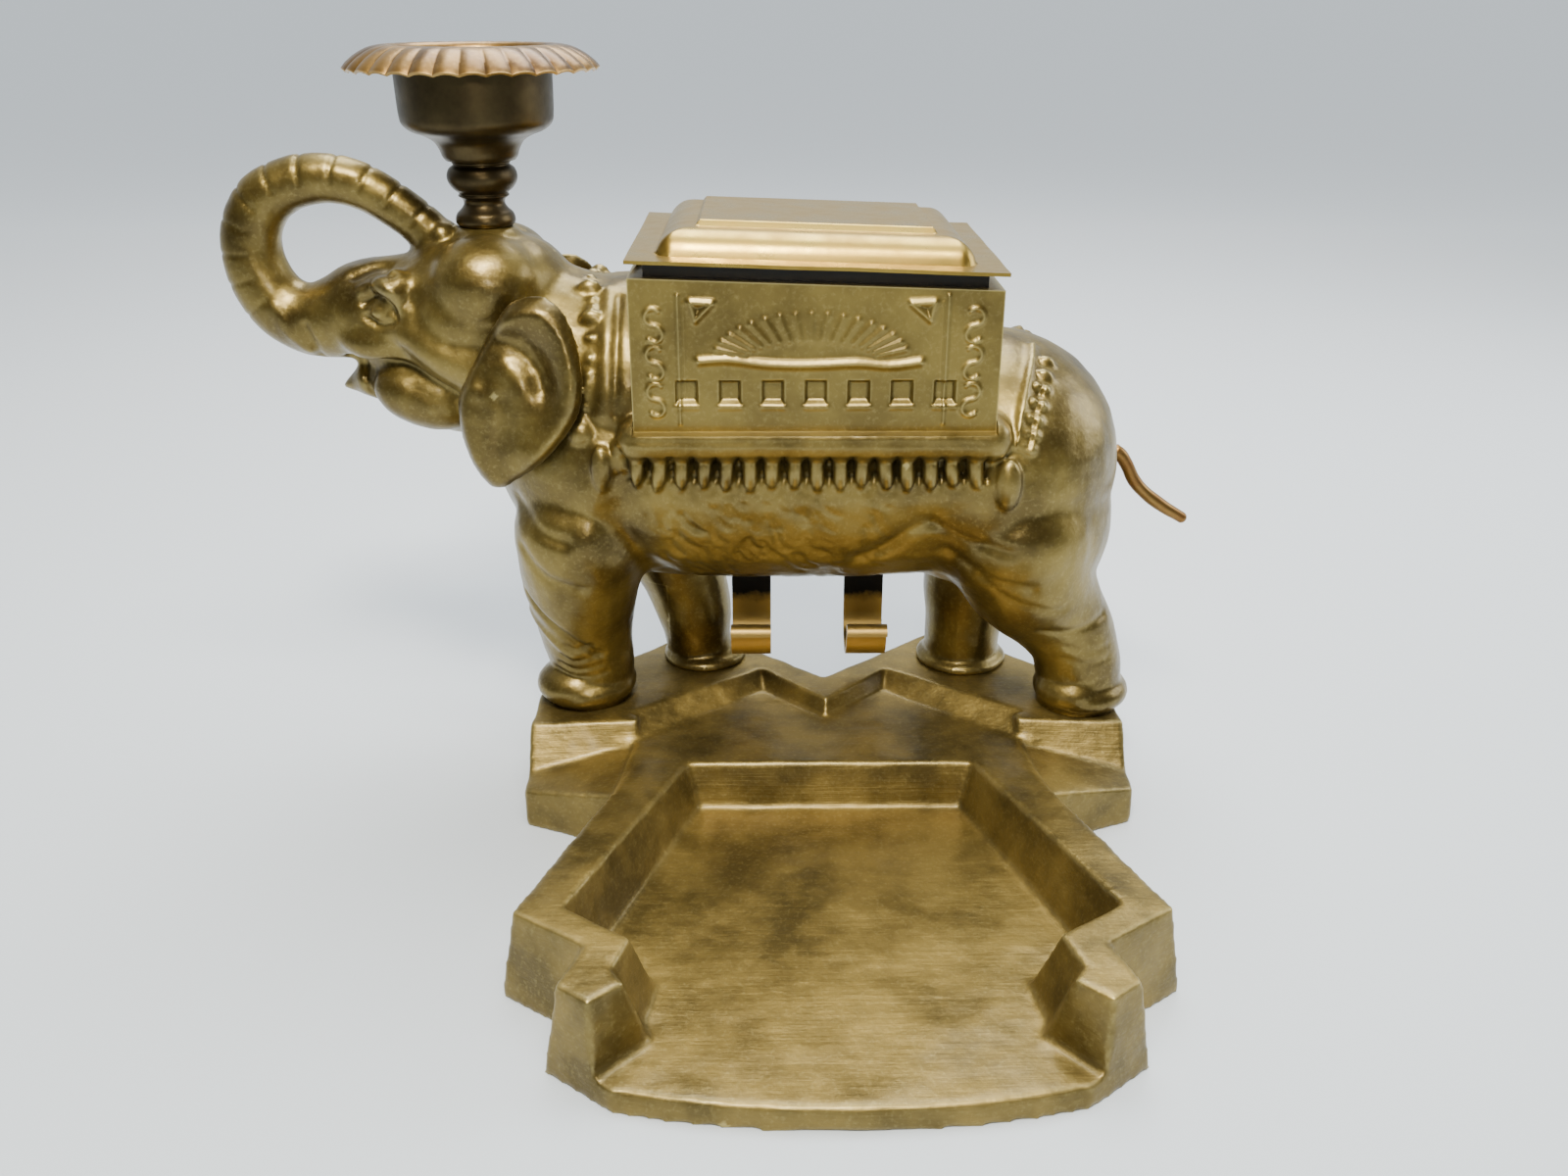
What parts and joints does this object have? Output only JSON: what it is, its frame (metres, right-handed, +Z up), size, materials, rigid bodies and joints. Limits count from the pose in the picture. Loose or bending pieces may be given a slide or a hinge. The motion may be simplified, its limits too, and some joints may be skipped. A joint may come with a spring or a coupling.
{
  "type": "cigarette dispenser",
  "caption": "Cast-iron elephant standing on an ashtray base, with a lidded howdah box, a tail that turns a feed roller, a catch cradle under the belly and a fluted cup on the head.",
  "frame": {"origin": "on the ground at the middle of the base", "axes": "+Z up, +X towards the elephant's tail, +Y from the open front of the tray to the back"},
  "size_m": [0.2268, 0.1707, 0.1724],
  "materials": {
    "gilt_iron": "bronze-powder gold paint over cast iron",
    "gilt_sheet": "bronze-powder gold paint over stamped sheet steel",
    "steel_screws": "dull steel screws",
    "gilt_screws": "gold-painted steel screws",
    "steel_wire": "drawn steel wire",
    "gilt_wire": "gold-painted steel wire",
    "black_tin": "black japanned tinplate",
    "zinc_roller": "dull cast zinc",
    "brass_bush": "plain brass tube",
    "black_strap": "black japanned strip with gold paint on its ends",
    "gilt_brass": "bronze-powder gold paint over turned brass"
  },
  "bodies": {
    "stand": {"ashtray_base": "gilt_iron", "left_body_half": "gilt_iron", "right_body_half": "gilt_iron", "howdah_box": "gilt_iron", "box_screws": "steel_screws", "hinge_strip": "gilt_sheet", "hinge_rivets": "gilt_sheet", "lid_hinge_pin": "steel_wire", "hopper_liner": "black_tin", "front_bearing": "brass_bush", "rear_bearing": "brass_bush", "drop_guide": "black_tin", "catch_cradle": "black_strap", "cradle_screws": "steel_screws", "cup_stem": "gilt_brass", "cup": "gilt_brass", "fluted_rim": "gilt_brass", "cup_screw": "steel_screws", "body_screws": "gilt_screws", "foot_screws": "steel_screws", "foot_washers": "steel_screws"},
    "lid": {"lid": "gilt_sheet"},
    "roller": {"feed_roller": "zinc_roller", "roller_pin": "steel_wire", "tail_crank": "gilt_wire"}
  },
  "joints": [
    {"name": "lid_hinge", "type": "hinge", "parent": "stand", "child": "lid", "pos_m": [-0.00413, 0.0854, 0.1294], "axis": [-0.9995, 0, 0.0332], "range_deg": [0, 105]},
    {"name": "tail_turn", "type": "hinge", "parent": "stand", "child": "roller", "pos_m": [-0.0042, 0.0505, 0.081], "axis": [1, 0, 0], "continuous": true}
  ]
}
